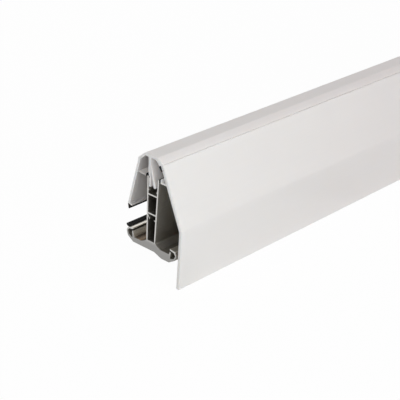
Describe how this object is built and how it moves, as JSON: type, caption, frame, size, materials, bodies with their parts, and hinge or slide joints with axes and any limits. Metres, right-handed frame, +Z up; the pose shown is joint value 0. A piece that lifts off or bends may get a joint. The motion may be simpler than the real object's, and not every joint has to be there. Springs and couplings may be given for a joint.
{
  "type": "glazing bar",
  "caption": "Verge glazing bar in section: aluminium base bar with hollow web, white push-down cap with gasket, and white side fascia panel.",
  "frame": {"origin": "middle of the length, on the flat underside, below the middle of the web", "axes": "+X along the bar, -Y towards the fascia, +Z up, the way the cap lifts"},
  "size_m": [0.6, 0.0649, 0.1123],
  "materials": {
    "aluminium": "mill, as extruded",
    "white_cap": "smooth satin white PVC",
    "white_fascia": "smooth satin white PVC",
    "black_rubber": "matt black flexible strip"
  },
  "bodies": {
    "base": {"base_bar": "aluminium", "base_gasket": "black_rubber"},
    "cap_assembly": {"cap": "white_cap", "cap_gasket": "black_rubber", "fascia": "white_fascia", "seam_seal": "black_rubber", "ledge_seal": "black_rubber", "shelf_seal": "black_rubber"}
  },
  "joints": [
    {"name": "cap_lift", "type": "slide", "parent": "base", "child": "cap_assembly", "axis": [0, 0, 1], "range_m": [0, 0.1]}
  ]
}
